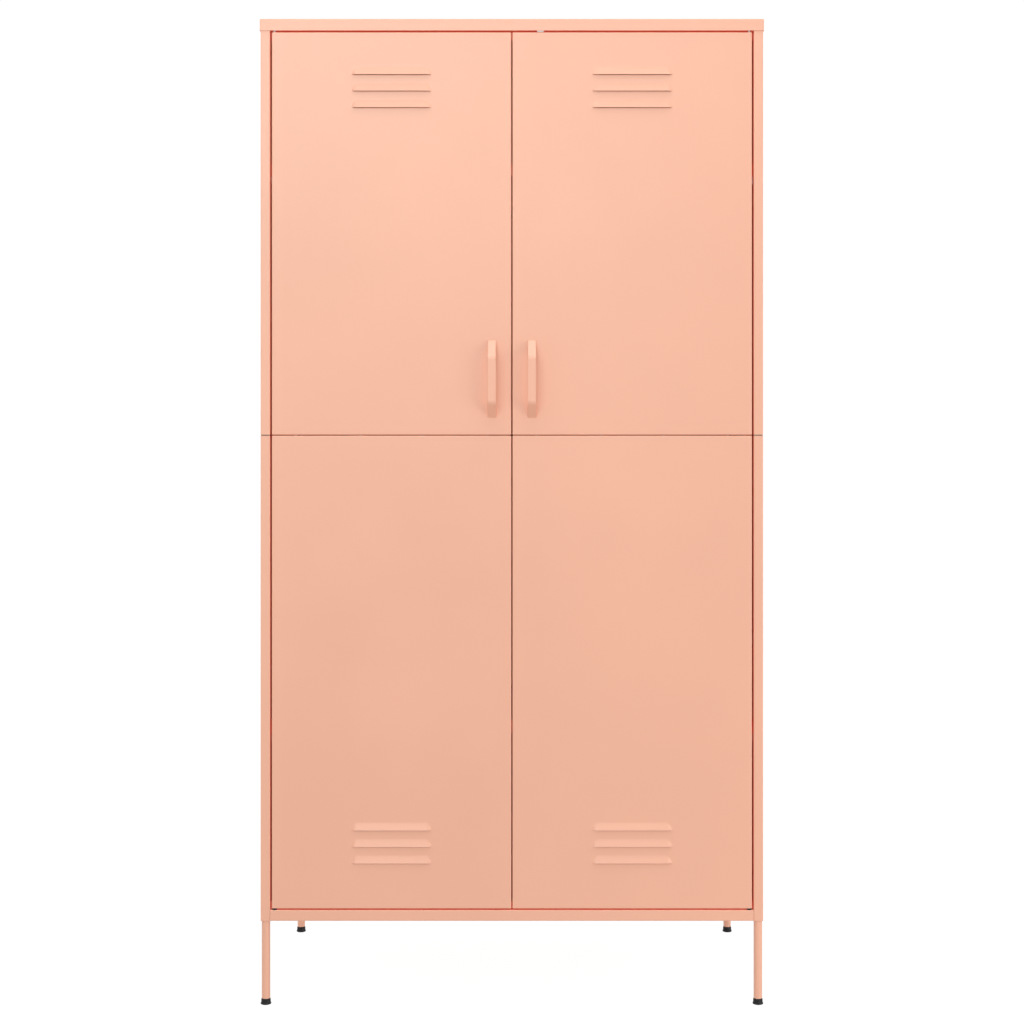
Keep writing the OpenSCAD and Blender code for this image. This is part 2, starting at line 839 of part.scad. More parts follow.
// A bow with two solid roots, drawn from its side
module handle() {
    grip_low = handle_arm_low;
    grip_high = handle_l - handle_arm_up;
    inner = handle_reach - handle_t;
    color(powder) difference() {
        translate([handle_x - handle_w / 2, y_face, handle_z]) rotate([90, 0, 90]) linear_extrude(handle_w)
            polygon([
                [0, 0], [-handle_reach, grip_low], [-handle_reach, grip_high], [0, handle_l],
                [0, handle_l - handle_root], [-inner, grip_high - handle_t], [-inner, grip_low + handle_t],
                [0, handle_root]
            ]);
        handle_screw_places() cylinder(d = screw_d + 2 * bore_fit, h = sheet + handle_screw_l - 1);
    }
}

module handle_screws() {
    color(zinc) handle_screw_places() sheet_screw(handle_screw_l - 1);
}

module pivot_plates() {
    inner_x = door_out_x - sheet - fit;
    color(zinc) for (z = [door_top - sheet - pivot_plate_t, door_bottom + sheet]) difference() {
        span([inner_x - pivot_plate_l, y_face + sheet + fit, z],
             [inner_x, y_face + door_t - sheet - fit, z + pivot_plate_t]);
        hole_z(pivot_x, pivot_y, z - 1, z + pivot_plate_t + 1, pivot_d);
    }
}

module pivot_pins() {
    top_seat = door_top - sheet - pivot_plate_t;
    low_seat = door_bottom + sheet + pivot_plate_t;
    color(zinc) translate([pivot_x, pivot_y, 0]) {
        translate([0, 0, top_seat - pin_in]) cylinder(d = pivot_d, h = top_rail_z + sheet + pin_past - top_seat + pin_in);
        translate([0, 0, top_seat - 2]) cylinder(d = pin_collar_d, h = 2);
        translate([0, 0, strip_z - sheet - pin_past])
            cylinder(d = pivot_d, h = low_seat + pin_in - strip_z + sheet + pin_past);
    }
}

module right_upper_door_panel() { upper_door(); }
module right_lower_door_panel() { lower_door(); }
module right_handle() { handle(); }
module right_handle_screws() { handle_screws(); }
module right_pivot_plates() { pivot_plates(); }
module right_pivot_pins() { pivot_pins(); }
module right_door_bolts() { door_bolts(); }
module right_door_nuts() { door_nuts(); }
module left_upper_door_panel() { to_left() upper_door(); }
module left_lower_door_panel() { to_left() lower_door(); }
module left_handle() { to_left() handle(); }
module left_handle_screws() { to_left() handle_screws(); }
module left_pivot_plates() { to_left() pivot_plates(); }
module left_pivot_pins() { to_left() pivot_pins(); }
module left_door_bolts() { to_left() door_bolts(); }
module left_door_nuts() { to_left() door_nuts(); }

top_cap();
cap_nuts();
top_rail();
top_rail_screws();
floor_pan();
floor_pan_screws();
upper_left_side();
upper_right_side();
lower_left_side();
lower_right_side();
side_joint_bolts();
side_joint_nuts();
post_splices();
upper_back_panel();
lower_back_panel();
back_panel_screws();
rear_joint_rail();
rear_joint_screws();
hat_shelf();
lower_shelf();
shelf_clips();
hanging_rail();
left_rail_bracket();
right_rail_bracket();
rail_bracket_screws();
upper_pivot_bushes();
lower_pivot_bushes();
magnetic_catches();
catch_magnets();
catch_screws();
door_bumpers();
corner_plates();
front_left_leg();
front_right_leg();
rear_left_leg();
rear_right_leg();
front_left_foot();
front_right_foot();
rear_left_foot();
rear_right_foot();
left_upper_door_panel();
left_lower_door_panel();
left_handle();
left_handle_screws();
left_pivot_plates();
left_pivot_pins();
left_door_bolts();
left_door_nuts();
right_upper_door_panel();
right_lower_door_panel();
right_handle();
right_handle_screws();
right_pivot_plates();
right_pivot_pins();
right_door_bolts();
right_door_nuts();
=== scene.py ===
"""Looks of a tall two-door steel locker cabinet: powder-coated sheet metal on four thin legs."""
import json
import math

import bmesh
import bpy
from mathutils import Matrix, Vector


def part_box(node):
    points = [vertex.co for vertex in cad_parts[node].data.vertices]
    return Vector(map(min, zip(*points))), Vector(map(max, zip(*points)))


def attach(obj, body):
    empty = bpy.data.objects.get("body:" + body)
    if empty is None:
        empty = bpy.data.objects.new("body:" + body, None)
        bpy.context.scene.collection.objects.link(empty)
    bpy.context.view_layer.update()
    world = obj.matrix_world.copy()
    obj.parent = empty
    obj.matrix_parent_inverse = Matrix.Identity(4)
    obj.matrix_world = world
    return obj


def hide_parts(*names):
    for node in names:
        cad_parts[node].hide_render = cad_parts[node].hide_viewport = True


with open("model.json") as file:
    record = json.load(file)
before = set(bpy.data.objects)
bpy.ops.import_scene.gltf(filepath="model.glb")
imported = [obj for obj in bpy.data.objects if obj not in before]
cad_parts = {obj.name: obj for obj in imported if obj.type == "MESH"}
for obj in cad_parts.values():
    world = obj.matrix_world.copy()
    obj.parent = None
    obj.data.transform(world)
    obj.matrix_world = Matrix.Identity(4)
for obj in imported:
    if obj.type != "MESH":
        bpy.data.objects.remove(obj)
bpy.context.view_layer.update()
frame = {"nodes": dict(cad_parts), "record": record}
scene = bpy.context.scene

# ---- Sizes, in metres, from the frame ----

SHEET = 0.0008
BEND = 0.0014          # radius of a fold, to the middle of the sheet
SOFT_BEND = 0.0014     # radius of the cap's folds
FOLD_STEPS = 5
JOINT_RELIEF = 0.0008  # how far a half stops short of the joint
DOOR_RELIEF = 0.0006
FIT = 0.0002

cap_lo, cap_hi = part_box("top_cap")
rail_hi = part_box("top_rail")[1]
side_lo, side_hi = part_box("upper_right_side")
low_side_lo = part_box("lower_right_side")[0]
floor_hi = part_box("floor_pan")[1]
door_lo, door_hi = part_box("right_upper_door_panel")
low_door_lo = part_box("right_lower_door_panel")[0]
back_lo, back_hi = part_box("upper_back_panel")

FACE_Y = side_lo.y
REAR_Y = side_hi.y
BODY_X = side_hi.x
POST_X = side_lo.x
POST_D = rail_hi.y - FACE_Y
POST_LIP = 0.008
BETWEEN_X = rail_hi.x
BODY_Z = low_side_lo.z
JOINT_Z = side_lo.z
TOP_Z = side_hi.z
FLANGE_W = 0.014
FLOOR_Z = floor_hi.z
STRIP_Z = BODY_Z + 0.0195  # top of the rail under the doors
DOOR_T = door_hi.y - FACE_Y
STOP_Y = FACE_Y + DOOR_T + 0.001
HEM = 0.010
BACK_FLANGE = back_hi.y - back_lo.y
CATCH_X = 0.051        # middle of each catch's window in the head rail
CATCH_HALF = 0.00645
WALL_R = 0.0035        # the two holes for fixing to a wall
WALL_X = 0.300
WALL_Z = cap_hi.z - 0.090
GAP_GLOW_REACH = 0.012      # how close two painted edges have to be for the painted red glow between them


# ---- Materials ----

def node_tree(name):
    """A new material, its nodes, its links, its shader and its coordinates."""
    mat = bpy.data.materials.new(name)
    mat.use_nodes = True
    nodes, links = mat.node_tree.nodes, mat.node_tree.links
    shader = nodes["Principled BSDF"]
    coords = nodes.new("ShaderNodeTexCoord").outputs["Object"]
    return mat, nodes, links, shader, coords


def noise(nodes, links, coords, scale, detail=3.0, rough=0.5, stretch=None):
    """A noise texture in object space, stretched along some axes if asked."""
    tex = nodes.new("ShaderNodeTexNoise")
    tex.inputs["Scale"].default_value = scale
    tex.inputs["Detail"].default_value = detail
    tex.inputs["Roughness"].default_value = rough
    if stretch:
        mapping = nodes.new("ShaderNodeMapping")
        mapping.inputs["Scale"].default_value = stretch
        links.new(coords, mapping.inputs["Vector"])
        coords = mapping.outputs["Vector"]
    links.new(coords, tex.inputs["Vector"])
    return tex.outputs["Fac"]


def ramp(nodes, links, fac, stops):
    """A colour ramp whose stops are (position, colour)."""
    node = nodes.new("ShaderNodeValToRGB")
    elements = node.color_ramp.elements
    for element, (place, colour) in zip(elements, stops):
        element.position = place
        element.color = (*colour, 1)
    for place, colour in stops[2:]:
        elements.new(place).color = (*colour, 1)
    links.new(fac, node.inputs["Fac"])
    return node.outputs["Color"]


def spread(nodes, links, fac, low, high):
    """fac, from 0.3 to 0.7, mapped to a range."""
    node = nodes.new("ShaderNodeMapRange")
    node.inputs["From Min"].default_value = 0.3
    node.inputs["From Max"].default_value = 0.7
    node.inputs["To Min"].default_value = low
    node.inputs["To Max"].default_value = high
    links.new(fac, node.inputs["Value"])
    return node.outputs["Result"]


def bumps(nodes, links, shader, layers):
    """Chains bump layers of (height, strength, distance) into the shader's normal."""
    normal = None
    for height, strength, distance in layers:
        bump = nodes.new("ShaderNodeBump")
        bump.inputs["Strength"].default_value = strength
        bump.inputs["Distance"].default_value = distance
        links.new(height, bump.inputs["Height"])
        if normal:
            links.new(normal, bump.inputs["Normal"])
        normal = bump.outputs["Normal"]
    links.new(normal, shader.inputs["Normal"])


def shade(colour, factor):
    return tuple(c * factor for c in colour)


def painted_gap_glow(nodes, links, shader):
    """A painted red glow where two painted edges face each other closely, standing in for the light they pass
    back and forth.
    """
    gap_occlusion = nodes.new("ShaderNodeAmbientOcclusion")
    gap_occlusion.samples = 4
    gap_occlusion.inputs["Distance"].default_value = GAP_GLOW_REACH
    painted_glow_strength = nodes.new("ShaderNodeMapRange")
    painted_glow_strength.inputs["From Min"].default_value = 0.05
    painted_glow_strength.inputs["From Max"].default_value = 0.40
    painted_glow_strength.inputs["To Min"].default_value = 0.11
    painted_glow_strength.inputs["To Max"].default_value = 0.0
    links.new(gap_occlusion.outputs["AO"], painted_glow_strength.inputs["Value"])
    # painted light: red emission in the gaps, strongest where they are most shut in
    links.new(painted_glow_strength.outputs["Result"], shader.inputs["Emission Strength"])
    shader.inputs["Emission Color"].default_value = (1.0, 0.02, 0.01, 1)


def powder_coat(name, colour):
    """Satin powder coat: fine orange peel, a little cloudiness, and sheets that aren't quite flat."""
    mat, nodes, links, shader, coords = node_tree(name)
    cloud = noise(nodes, links, coords, 3.5, 2.0)
    links.new(ramp(nodes, links, cloud, [(0.3, shade(colour, 0.972)), (0.7, shade(colour, 1.018))]),
              shader.inputs["Base Color"])
    satin = noise(nodes, links, coords, 260.0, 3.0)
    links.new(spread(nodes, links, satin, 0.40, 0.50), shader.inputs["Roughness"])
    peel = noise(nodes, links, coords, 620.0, 2.5, 0.55)
    grain = noise(nodes, links, coords, 2600.0, 1.0)
    panel = noise(nodes, links, coords, 2.2, 0.0)
    bumps(nodes, links, shader, [(panel, 0.35, 0.004), (peel, 0.30, 0.00025), (grain, 0.18, 0.00006)])
    shader.inputs["IOR"].default_value = 1.8
    # painted red glow in narrow gaps between painted edges
    painted_gap_glow(nodes, links, shader)
    return mat


def bright_zinc(name):
    """Zinc plating with soft spangle and fine scratches."""
    mat, nodes, links, shader, coords = node_tree(name)
    spangle = noise(nodes, links, coords, 180.0, 4.0, 0.6)
    links.new(ramp(nodes, links, spangle, [(0.3, (0.50, 0.51, 0.53)), (0.7, (0.68, 0.68, 0.67))]),
              shader.inputs["Base Color"])
    links.new(spread(nodes, links, spangle, 0.28, 0.46), shader.inputs["Roughness"])
    scratch = noise(nodes, links, coords, 900.0, 3.0, 0.6, stretch=(0.2, 1.0, 1.0))
    bumps(nodes, links, shader, [(scratch, 0.25, 0.00005)])
    shader.inputs["Metallic"].default_value = 1.0
    return mat


def plated_tube(name):
    """Bright plated tube, drawn along X."""
    mat, nodes, links, shader, coords = node_tree(name)
    drawn = noise(nodes, links, coords, 700.0, 3.0, 0.6, stretch=(0.01, 1.0, 1.0))
    links.new(ramp(nodes, links, drawn, [(0.3, (0.66, 0.67, 0.69)), (0.7, (0.76, 0.76, 0.77))]),
              shader.inputs["Base Color"])
    links.new(spread(nodes, links, drawn, 0.12, 0.22), shader.inputs["Roughness"])
    bumps(nodes, links, shader, [(drawn, 0.15, 0.00004)])
    shader.inputs["Metallic"].default_value = 1.0
    return mat


def moulded(name, low, high, roughness, pit=0.00006, shine=0.5):
    """Moulded plastic or rubber with a fine spark-eroded grain."""
    mat, nodes, links, shader, coords = node_tree(name)
    cloud = noise(nodes, links, coords, 60.0, 3.0)
    links.new(ramp(nodes, links, cloud, [(0.3, low), (0.7, high)]), shader.inputs["Base Color"])
    links.new(spread(nodes, links, cloud, roughness - 0.05, roughness + 0.06), shader.inputs["Roughness"])
    bumps(nodes, links, shader, [(noise(nodes, links, coords, 1800.0, 2.0), 0.4, pit)])
    shader.inputs["Specular IOR Level"].default_value = shine
    return mat


PAINT = powder_coat("peach_powder_coat", (0.865, 0.4346, 0.2905))
ZINC = bright_zinc("bright_zinc")
TUBE = plated_tube("plated_tube")
NYLON = moulded("white_nylon", (0.86, 0.85, 0.81), (0.92, 0.91, 0.88), 0.42)
BLACK = moulded("black_plastic", (0.008, 0.008, 0.008), (0.015, 0.015, 0.016), 0.45, shine=0.3)
RUBBER = moulded("black_rubber", (0.020, 0.020, 0.020), (0.035, 0.034, 0.033), 0.78, 0.0001)
PHOSPHATE = moulded("dark_phosphated_steel", (0.060, 0.030, 0.022), (0.100, 0.046, 0.034), 0.6)
MAGNET = moulded("dark_magnet", (0.09, 0.09, 0.095), (0.14, 0.14, 0.145), 0.35)

FINISH = {
    "powder_coat": PAINT, "zinc_steel": ZINC, "rail_steel": TUBE, "white_nylon": NYLON,
    "black_plastic": BLACK, "black_rubber": RUBBER, "magnet": MAGNET, "dark_steel": PHOSPHATE,
}


# ---- Outlines ----

def rounded(points, radius, steps=FOLD_STEPS):
    """An open line with each inner corner replaced by an arc."""
    line = [Vector(points[0])]
    for before, corner, after in zip(points, points[1:], points[2:]):
        corner = Vector(corner)
        a = (Vector(before) - corner).normalized()
        b = (Vector(after) - corner).normalized()
        half = a.angle(b) / 2
        reach = radius / math.tan(half)
        centre = corner + (a + b).normalized() * (radius / math.sin(half))
        start = corner + a * reach - centre
        turn = start.angle_signed(corner + b * reach - centre)
        for i in range(steps + 1):
            angle = -turn * i / steps
            c, s = math.cos(angle), math.sin(angle)
            line.append(centre + Vector((c * start.x - s * start.y, s * start.x + c * start.y)))
    line.append(Vector(points[-1]))
    return line


def two_faces(line, thickness=SHEET):
    """The left and right faces of a sheet that follows a line."""
    left, right = [], []
    for i, point in enumerate(line):
        along = (line[min(i + 1, len(line) - 1)] - line[max(i - 1, 0)]).normalized()
        if 0 < i < len(line) - 1:
            a = (point - line[i - 1]).normalized()
            b = (line[i + 1] - point).normalized()
            along = (a + b).normalized()
        side = Vector((-along.y, along.x)) * (thickness / 2)
        left.append(point + side)
        right.append(point - side)
    return left, right


# ---- Mesh building ----

def new_piece(name, bm, material, sharp=40.0):
    """Finishes a mesh: normals, smooth shading with sharp edges past an angle, material, object."""
    bmesh.ops.remove_doubles(bm, verts=bm.verts, dist=1e-6)
    bmesh.ops.recalc_face_normals(bm, faces=bm.faces)
    for face in bm.faces:
        face.smooth = True
    limit = math.radians(sharp)
    for edge in bm.edges:
        if len(edge.link_faces) == 2 and edge.calc_face_angle() > limit:
            edge.smooth = False
    mesh = bpy.data.meshes.new(name)
    bm.to_mesh(mesh)
    bm.free()
    piece = bpy.data.objects.new(name, mesh)
    scene.collection.objects.link(piece)
    mesh.materials.append(material)
    return piece


def weighted(piece):
    """Keeps the flats flat and the folds round in the shading."""
    modifier = piece.modifiers.new("weighted", "WEIGHTED_NORMAL")
    modifier.keep_sharp = True
    modifier.weight = 100
    return piece


def bevelled(piece, width, segments=2, angle=30.0):
    modifier = piece.modifiers.new("bevel", "BEVEL")
    modifier.width = width
    modifier.segments = segments
    modifier.limit_method = "ANGLE"
    modifier.angle_limit = math.radians(angle)
    return weighted(piece)


def loft(bm, rings, closed=True):
    """Joins rings of points, of the same count, with quads. Returns the rings of vertices."""
    made = [[bm.verts.new(p) for p in ring] for ring in rings]
    count = len(made[0])
    for a, b in zip(made, made[1:]):
        for i in range(count if closed else count - 1):
            j = (i + 1) % count
            bm.faces.new((a[i], a[j], b[j], b[i]))
    return made


def folded(bm, points, low, high, place, radius=BEND):
    """A folded sheet of constant section, from low to high along the fold.
    place(a, b, along) gives the point."""
    left, right = two_faces(rounded(points, radius))
    outline = left + right[::-1]
    ends = loft(bm, [[place(p.x, p.y, at) for p in outline] for at in (low, high)])
    count = len(left)
    for ring in ends:
        for i in range(count - 1):
            bm.faces.new((ring[i], ring[i + 1], ring[2 * count - 2 - i], ring[2 * count - 1 - i]))


def slab(bm, low, high):
    """A closed block from corner to corner."""
    xs, ys, zs = zip(low, high)
    floor = [(xs[0], ys[0]), (xs[1], ys[0]), (xs[1], ys[1]), (xs[0], ys[1])]
    rings = loft(bm, [[(x, y, z) for x, y in floor] for z in zs])
    for ring in rings:
        bm.faces.new(ring)


def ring_of(half_a, half_b, corner, steps=4):
    """A rectangle with rounded corners, as (a, b) points."""
    corner = max(corner, 0.00005)
    points = []
    for quarter, (sa, sb) in enumerate(((1, 1), (-1, 1), (-1, -1), (1, -1))):
        for i in range(steps + 1):
            angle = math.pi / 2 * (quarter + i / steps)
            points.append((sa * (half_a - corner) + corner * math.cos(angle),
                           sb * (half_b - corner) + corner * math.sin(angle)))
    return points


def pan(name, half_a, half_b, section, place, material, radius=BEND, corner=0.0014, holes=()):
    """A folded pan. section is the line (inset, depth) from its face, round its edge, to the end of its hem.
    place(a, b, depth) gives a point.
    Each of holes adds a patch to the face and returns its outline's edges."""
    bm = bmesh.new()
    left, right = two_faces(rounded(section, radius))
    skins = []
    for line in (left, right):
        rings = [[place(a, b, p.y) for a, b in ring_of(half_a - p.x, half_b - p.x, corner - p.x)]
                 for p in line]
        skins.append(loft(bm, rings))
    last_a, last_b = skins[0][-1], skins[1][-1]
    for i in range(len(last_a)):
        j = (i + 1) % len(last_a)
        bm.faces.new((last_a[i], last_a[j], last_b[j], last_b[i]))
    for rings, line in zip(skins, (left, right)):
        face_edges = [bm.edges.get((rings[0][i - 1], rings[0][i])) for i in range(len(rings[0]))]
        for hole in holes:
            face_edges += hole(bm, line[0].y)
        if holes:
            bmesh.ops.triangle_fill(bm, use_beauty=True, use_dissolve=False, edges=face_edges)
        else:
            bm.faces.new(rings[0])
    return weighted(new_piece(name, bm, material))


# ---- Louvres ----

LOUVRE_N = 3
LOUVRE_W = 0.143
LOUVRE_H = 0.0145
LOUVRE_OUT = FACE_Y - door_lo.y
LOUVRE_SLANT = 0.0065
LOUVRE_PITCH = 0.0294
LOUVRE_DROP = 0.076
LOUVRE_RISE = 0.0815
LOUVRE_END = 0.0075    # how far each end takes to rise
CREASE_SOFT = 0.10     # roundness of the crease


def louvre_height(u, v):
    """How far a louvre stands out at u across and v up from its lip."""
    rise = 1 - v / LOUVRE_H
    full = math.sqrt(1 + CREASE_SOFT ** 2) - CREASE_SOFT
    soft = (math.sqrt(rise * rise + CREASE_SOFT ** 2) - CREASE_SOFT) / full
    inside = LOUVRE_W / 2 - LOUVRE_SLANT * v / LOUVRE_H - abs(u)
    end = min(max(inside / LOUVRE_END, 0), 1)
    return LOUVRE_OUT * soft * math.sin(end * math.pi / 2) ** 0.9


def louvre_columns():
    """Places across a louvre, close together at its slanted ends."""
    end = LOUVRE_SLANT + LOUVRE_END
    fine = [end * i / 14 for i in range(15)]
    middle = [end + (LOUVRE_W - 2 * end) * i / 8 for i in range(1, 8)]
    return [x - LOUVRE_W / 2 for x in fine + middle + [LOUVRE_W - x for x in reversed(fine)]]


LOUVRE_ROWS = [LOUVRE_H * (i / 10) for i in range(11)]


class Louvre:
    """One pressed louvre, whose lip is free and whose other sides join the door's skin."""

    def __init__(self, centre_a, lip_b, place):
        self.centre_a = centre_a
        self.lip_b = lip_b
        self.place = place
        self.lips = []

    def __call__(self, bm, depth):
        def point(u, v, out):
            return self.place(self.centre_a + u, self.lip_b + v, depth - out)
        columns = louvre_columns()
        grid = [[bm.verts.new(point(u, v, louvre_height(u, v) if 0 < i < len(columns) - 1 else 0))
                 for i, u in enumerate(columns)] for v in LOUVRE_ROWS]
        for low, high in zip(grid, grid[1:]):
            for i in range(len(columns) - 1):
                bm.faces.new((low[i], low[i + 1], high[i + 1], high[i]))
        corner_a, corner_b = grid[0][0], grid[0][-1]
        sill = bm.edges.new((corner_a, corner_b))
        loop = [sill]
        loop += [bm.edges.get((a[0], b[0])) for a, b in zip(grid, grid[1:])]
        loop += [bm.edges.get((a[-1], b[-1])) for a, b in zip(grid, grid[1:])]
        loop += [bm.edges.get((a, b)) for a, b in zip(grid[-1], grid[-1][1:])]
        self.lips.append(grid[0])
        if len(self.lips) == 2:
            outer, inner = self.lips
            for i in range(len(outer) - 1):
                bm.faces.new((outer[i], outer[i + 1], inner[i + 1], inner[i]))
            bm.faces.new((outer[0], outer[-1], inner[-1], inner[0]))
        return loop


# ---- Doors ----

def door_section():
    half = SHEET / 2
    return [(0.012, half), (half, half), (half, DOOR_T - half), (HEM + SHEET, DOOR_T - half)]


def door_half(side, level, lowest_louvre):
    """One half of a door, upper or lower, with its group of louvres."""
    node = f"{side}_{level}_door_panel"
    low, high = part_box(node)
    if level == "upper":
        low.z += DOOR_RELIEF
    else:
        high.z -= DOOR_RELIEF
    mid_x, half_x = (low.x + high.x) / 2, (high.x - low.x) / 2
    mid_z, half_z = (low.z + high.z) / 2, (high.z - low.z) / 2

    def place(a, b, depth):
        return (mid_x + a, FACE_Y + depth, mid_z + b)

    louvres = [Louvre(0, lowest_louvre + i * LOUVRE_PITCH - mid_z, place) for i in range(LOUVRE_N)]
    skin = pan(f"{side}_{level}_door_skin", half_x, half_z, door_section(), place, PAINT, holes=louvres)
    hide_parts(node)
    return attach(skin, f"{side}_door")


def handle(side):
    """A bow handle: a flat strap with rounded edges and two solid roots."""
    node = f"{side}_handle"
    low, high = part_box(node)
    reach, thick = FACE_Y - low.y, 0.003
    arm_up, arm_low, root, bend = 0.031, 0.025, 0.012, 0.013
    top, bottom = high.z, low.z
    inner = reach - thick
    outer = rounded([(0, bottom), (-reach, bottom + arm_low), (-reach, top - arm_up), (0, top)], bend, 8)
    inside = rounded([(0, top - root), (-inner, top - arm_up - thick), (-inner, bottom + arm_low + thick),
                      (0, bottom + root)], bend - thick, 8)
    bm = bmesh.new()
    outline = outer + inside
    rings = loft(bm, [[(x, FACE_Y + p.x, p.y) for p in outline] for x in (low.x, high.x)])
    count = len(outer)
    for ring in rings:
        for i in range(count - 1):
            bm.faces.new((ring[i], ring[i + 1], ring[2 * count - 2 - i], ring[2 * count - 1 - i]))
    piece = new_piece(f"{side}_bow_handle", bm, PAINT, 60)
    bevelled(piece, 0.0009, 3, 50)
    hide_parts(node)
    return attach(piece, f"{side}_door")


for door_side in ("left", "right"):
    door_half(door_side, "upper", door_hi.z - LOUVRE_DROP - (LOUVRE_N - 1) * LOUVRE_PITCH)
    door_half(door_side, "lower", low_door_lo.z + LOUVRE_RISE)
    handle(door_side)


# ---- Body ----

def keep(piece, *nodes, slot="powder_coat"):
    """The piece stands for CAD nodes of the fixed body."""
    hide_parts(*nodes)
    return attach(piece, "cabinet")


def top_cap():
    mid_y = (cap_lo.y + cap_hi.y) / 2
    half = SHEET / 2
    section = [(0.015, half), (half, half), (half, cap_hi.z - cap_lo.z)]

    def place(a, b, depth):
        return (a, mid_y + b, cap_hi.z - depth)

    cap = pan("cap_shell", cap_hi.x, (cap_hi.y - cap_lo.y) / 2, section, place, PAINT, SOFT_BEND, 0.0018)
    return keep(cap, "top_cap")


def cut_out(piece, boxes=(), rounds=()):
    """Cuts boxes, and round holes along Y given as (x, y, z, radius), out of a piece."""
    bm = bmesh.new()
    for low, high in boxes:
        slab(bm, low, high)
    for x, y, z, radius in rounds:
        turn = [2 * math.pi * i / 32 for i in range(32)]
        rings = loft(bm, [[(x + radius * math.cos(t), y + dy, z + radius * math.sin(t)) for t in turn]
                          for dy in (-0.003, 0.003)])
        for ring in rings:
            bm.faces.new(ring)
    cutter = new_piece("cutter", bm, PAINT)
    modifier = piece.modifiers.new("cut", "BOOLEAN")
    modifier.object = cutter
    modifier.operation = "DIFFERENCE"
    modifier.solver = "EXACT"
    bpy.context.view_layer.update()
    cut = bpy.data.meshes.new_from_object(piece.evaluated_get(bpy.context.evaluated_depsgraph_get()))
    piece.modifiers.clear()
    piece.data = cut
    bpy.data.objects.remove(cutter)
    return weighted(piece)


SLOT_FIRST = 0.100
SLOT_PITCH = 0.100
SLOT_W = 0.003
SLOT_H = 0.012
SLOT_IN = 0.026


def slot_boxes(sign, low, high):
    """The shelf slots of one side between two heights."""
    boxes = []
    count = int((TOP_Z - FLOOR_Z - SLOT_FIRST - 0.04) / SLOT_PITCH) + 1
    for i in range(count):
        z = FLOOR_Z + SLOT_FIRST + i * SLOT_PITCH
        if z - SLOT_H < low + 0.010 or z > high - 0.010:
            continue
        for y in (FACE_Y + SLOT_IN, REAR_Y - SLOT_IN):
            xs = sorted((sign * (POST_X - 0.001), sign * (POST_X + 0.002)))
            boxes.append(((xs[0], y - SLOT_W / 2, z - SLOT_H), (xs[1], y + SLOT_W / 2, z)))
    return boxes


def side_half(side, level, low, high):
    """Half a side: a skin folded into a post channel at each end, with bolting flanges and shelf slots."""
    sign = 1 if side == "right" else -1
    half = SHEET / 2
    x0, x1 = POST_X + half, BODY_X - half
    y0, y1 = FACE_Y + half, REAR_Y - half
    lip = POST_X + POST_LIP
    section = [(lip, y0 + POST_D - SHEET), (x0, y0 + POST_D - SHEET), (x0, y0), (x1, y0),
               (x1, y1), (x0, y1), (x0, y1 - POST_D + SHEET), (lip, y1 - POST_D + SHEET)]
    bm = bmesh.new()
    folded(bm, section, low, high, lambda a, b, along: (sign * a, b, along))
    for z in (low, high - SHEET):
        xs = sorted((sign * (x1 - half), sign * (x1 - half - FLANGE_W)))
        slab(bm, (xs[0], FACE_Y + POST_D + 0.001, z), (xs[1], REAR_Y - POST_D - 0.001, z + SHEET))
    piece = new_piece(f"{side}_{level}_side_shell", bm, PAINT)
    cut_out(piece, slot_boxes(sign, low, high))
    return keep(piece, f"{level}_{side}_side")


def top_rail():
    low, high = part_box("top_rail")
    half = SHEET / 2
    bottom = cap_lo.z + 0.0006 + half
    lip = low.z
    section = [(FACE_Y + 0.022, high.z - half), (FACE_Y + half, high.z - half), (FACE_Y + half, bottom),
               (STOP_Y + half, bottom), (STOP_Y + half, lip)]
    bm = bmesh.new()
    folded(bm, section, low.x, high.x, lambda a, b, along: (along, a, b), 0.0009)
    for sign in (-1, 1):
        xs = sorted((sign * high.x, sign * (high.x - SHEET)))
        slab(bm, (xs[0], FACE_Y + 0.0025, bottom + 0.0025), (xs[1], high.y, high.z - 0.0025))
    piece = new_piece("head_rail", bm, PAINT)
    boxes = []
    for side in (-1, 1):
        catch = CATCH_X * side
        boxes.append(((catch - CATCH_HALF, STOP_Y - 0.001, lip - 0.001),
                      (catch + CATCH_HALF, STOP_Y + 0.002, bottom - half)))
    cut_out(piece, boxes)
    return keep(piece, "top_rail")


def floor_pan():
    """The rail under the doors, the strip they stand over, the step and the floor."""
    half = SHEET / 2
    side_x = floor_hi.x
    y0 = FACE_Y + POST_D + FIT
    y1 = REAR_Y - POST_D - FIT
    back = floor_hi.y
    bm = bmesh.new()
    section = [(FACE_Y + HEM, BODY_Z + half), (FACE_Y + half, BODY_Z + half), (FACE_Y + half, STRIP_Z - half),
               (STOP_Y + half, STRIP_Z - half), (STOP_Y + half, FLOOR_Z - half), (y0, FLOOR_Z - half)]
    folded(bm, section, -BETWEEN_X, BETWEEN_X, lambda a, b, along: (along, a, b))
    middle = [(-side_x + half, BODY_Z + SHEET), (-side_x + half, FLOOR_Z - half),
              (side_x - half, FLOOR_Z - half), (side_x - half, BODY_Z + SHEET)]
    folded(bm, middle, y0, y1, lambda a, b, along: (a, along, b))
    rear_x = BETWEEN_X - SHEET - FIT
    rear = [(y1, FLOOR_Z - half), (back - half, FLOOR_Z - half), (back - half, BODY_Z + SHEET)]
    folded(bm, rear, -rear_x, rear_x, lambda a, b, along: (along, a, b))
    return keep(weighted(new_piece("floor_shell", bm, PAINT)), "floor_pan")


